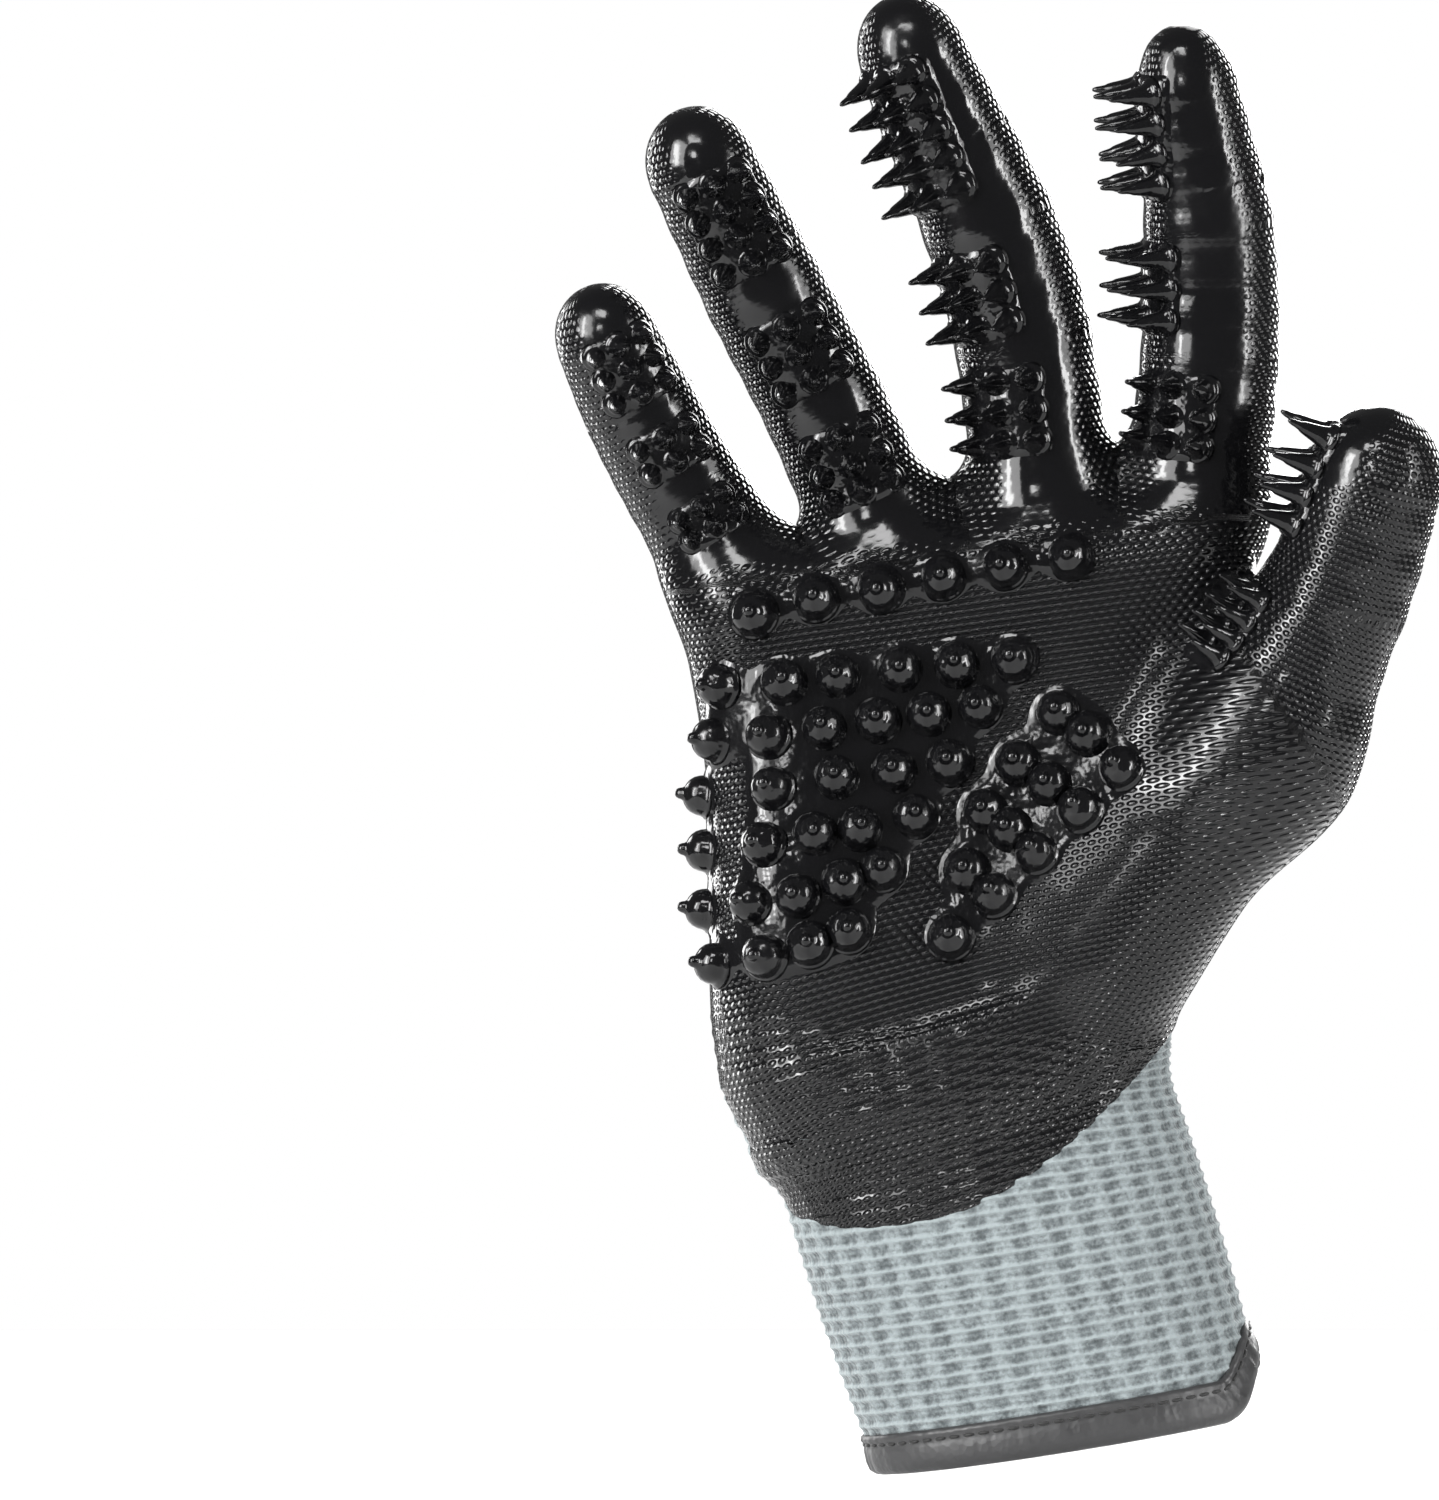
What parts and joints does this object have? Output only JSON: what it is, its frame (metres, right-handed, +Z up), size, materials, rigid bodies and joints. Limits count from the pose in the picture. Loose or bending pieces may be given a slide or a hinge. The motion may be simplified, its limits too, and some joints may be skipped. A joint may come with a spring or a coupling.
{
  "type": "grooming glove",
  "caption": "Right-hand pet grooming glove: knitted liner with a rubber-dipped palm, nub pads on palm and digits, and a strap-closed ribbed cuff.",
  "frame": {"origin": "centre of the wrist opening, in the plane of the cuff's mouth", "axes": "+Z up from the wrist to the fingertips, +X towards the thumb, +Y out of the back of the hand; the palm faces -Y"},
  "size_m": [0.15, 0.0572, 0.2555],
  "materials": {
    "knit": "fine grey knit",
    "rib_knit": "ribbed grey knit",
    "coating": "glossy black dip over knit",
    "nubs": "glossy black moulded nubs",
    "binding": "black grained tape",
    "thread": "black thread",
    "strap": "matte black",
    "hook_and_loop": "black hook and loop",
    "raised_marks": "raised grey print"
  },
  "bodies": {
    "hand": {"hand_liner": "knit", "palm_coating": "coating", "wrist_coating": "coating", "pad_palm_ridge": "nubs", "pad_palm_field": "nubs", "pad_palm_heel": "nubs", "cuff_rib": "rib_knit", "cuff_mouth_binding": "binding", "slit_binding": "binding", "binding_stitches": "thread", "loop_patch": "hook_and_loop"},
    "closing_strap": {"strap": "strap", "hook_patch": "hook_and_loop", "strap_stitches": "thread", "strap_paw_mark": "raised_marks", "strap_grip_bars": "raised_marks"},
    "little_base": {"little_base_liner": "knit", "little_base_coating": "coating", "little_base_nub_pad": "nubs"},
    "little_mid": {"little_mid_liner": "knit", "little_mid_coating": "coating", "little_mid_nub_pad": "nubs"},
    "little_tip": {"little_tip_liner": "knit", "little_tip_coating": "coating", "little_tip_nub_pad": "nubs"},
    "ring_base": {"ring_base_liner": "knit", "ring_base_coating": "coating", "ring_base_nub_pad": "nubs"},
    "ring_mid": {"ring_mid_liner": "knit", "ring_mid_coating": "coating", "ring_mid_nub_pad": "nubs"},
    "ring_tip": {"ring_tip_liner": "knit", "ring_tip_coating": "coating", "ring_tip_nub_pad": "nubs"},
    "middle_base": {"middle_base_liner": "knit", "middle_base_coating": "coating", "middle_base_nub_pad": "nubs"},
    "middle_mid": {"middle_mid_liner": "knit", "middle_mid_coating": "coating", "middle_mid_nub_pad": "nubs"},
    "middle_tip": {"middle_tip_liner": "knit", "middle_tip_coating": "coating", "middle_tip_nub_pad": "nubs"},
    "index_base": {"index_base_liner": "knit", "index_base_coating": "coating", "index_base_nub_pad": "nubs"},
    "index_mid": {"index_mid_liner": "knit", "index_mid_coating": "coating", "index_mid_nub_pad": "nubs"},
    "index_tip": {"index_tip_liner": "knit", "index_tip_coating": "coating", "index_tip_nub_pad": "nubs"},
    "thumb_base": {"thumb_base_liner": "knit", "thumb_base_coating": "coating", "thumb_base_nub_pad": "nubs"},
    "thumb_tip": {"thumb_tip_liner": "knit", "thumb_tip_coating": "coating", "thumb_tip_nub_pad": "nubs"}
  },
  "joints": [
    {"name": "little_knuckle", "type": "hinge", "parent": "hand", "child": "little_base", "pos_m": [-0.0575, -0.006, 0.148], "axis": [0.9912, 0, 0.1323], "range_deg": [-8, 28], "stiffness_Nm_per_rad": 0.05},
    {"name": "little_curl", "type": "hinge", "parent": "little_base", "child": "little_mid", "pos_m": [-0.06574, -0.00683, 0.16161], "axis": [0.8676, 0.0876, 0.4894], "range_deg": [0, 28], "stiffness_Nm_per_rad": 0.03},
    {"name": "little_end_curl", "type": "hinge", "parent": "little_mid", "child": "little_tip", "pos_m": [-0.07291, -0.00836, 0.17452], "axis": [0.8878, 0.0897, 0.4515], "range_deg": [0, 16.9], "stiffness_Nm_per_rad": 0.02},
    {"name": "ring_knuckle", "type": "hinge", "parent": "hand", "child": "ring_base", "pos_m": [-0.0315, -0.0063, 0.1515], "axis": [0.9912, 0, 0.1323], "range_deg": [-8, 42], "stiffness_Nm_per_rad": 0.05},
    {"name": "ring_curl", "type": "hinge", "parent": "ring_base", "child": "ring_mid", "pos_m": [-0.04181, -0.00736, 0.17501], "axis": [0.8818, 0.0353, 0.4703], "range_deg": [0, 36], "stiffness_Nm_per_rad": 0.03},
    {"name": "ring_end_curl", "type": "hinge", "parent": "ring_mid", "child": "ring_tip", "pos_m": [-0.05199, -0.00962, 0.19426], "axis": [0.887, 0.0355, 0.4604], "range_deg": [0, 21.7], "stiffness_Nm_per_rad": 0.02},
    {"name": "middle_knuckle", "type": "hinge", "parent": "hand", "child": "middle_base", "pos_m": [-0.0048, -0.0072, 0.155], "axis": [0.9912, 0, 0.1323], "range_deg": [-8, 42], "stiffness_Nm_per_rad": 0.05},
    {"name": "middle_curl", "type": "hinge", "parent": "middle_base", "child": "middle_mid", "pos_m": [-0.00871, -0.00852, 0.18544], "axis": [0.9579, -0.0575, 0.2813], "range_deg": [0, 36], "stiffness_Nm_per_rad": 0.03},
    {"name": "middle_end_curl", "type": "hinge", "parent": "middle_mid", "child": "middle_tip", "pos_m": [-0.01469, -0.01111, 0.20589], "axis": [0.9097, -0.0546, 0.4117], "range_deg": [0, 21.7], "stiffness_Nm_per_rad": 0.02},
    {"name": "index_knuckle", "type": "hinge", "parent": "hand", "child": "index_base", "pos_m": [0.02, -0.0073, 0.1583], "axis": [0.9912, 0, 0.1323], "range_deg": [-8, 42], "stiffness_Nm_per_rad": 0.05},
    {"name": "index_curl", "type": "hinge", "parent": "index_base", "child": "index_mid", "pos_m": [0.0223, -0.00847, 0.18338], "axis": [0.9949, -0.1005, 0.0021], "range_deg": [0, 36], "stiffness_Nm_per_rad": 0.03},
    {"name": "index_end_curl", "type": "hinge", "parent": "index_mid", "child": "index_tip", "pos_m": [0.02221, -0.0112, 0.20495], "axis": [0.9841, -0.0994, 0.1474], "range_deg": [0, 21.7], "stiffness_Nm_per_rad": 0.02},
    {"name": "thumb_knuckle", "type": "hinge", "parent": "hand", "child": "thumb_base", "pos_m": [0.02423, -0.01628, 0.11896], "axis": [-0.4857, 0.7739, 0.4065], "range_deg": [-18, 6], "stiffness_Nm_per_rad": 0.05},
    {"name": "thumb_curl", "type": "hinge", "parent": "thumb_base", "child": "thumb_tip", "pos_m": [0.03719, -0.02152, 0.14411], "axis": [-0.5291, 0.7831, 0.3267], "range_deg": [-30, 0], "stiffness_Nm_per_rad": 0.03},
    {"name": "strap_open", "type": "hinge", "parent": "hand", "child": "closing_strap", "pos_m": [0.01565, 0.01293, 0.04083], "axis": [0.309, 0, -0.9511], "range_deg": [0, 120]}
  ],
  "couplings": [
    {"joint": "little_end_curl", "follows": "little_curl", "ratio": 0.6},
    {"joint": "ring_end_curl", "follows": "ring_curl", "ratio": 0.6},
    {"joint": "middle_end_curl", "follows": "middle_curl", "ratio": 0.6},
    {"joint": "index_end_curl", "follows": "index_curl", "ratio": 0.6}
  ]
}
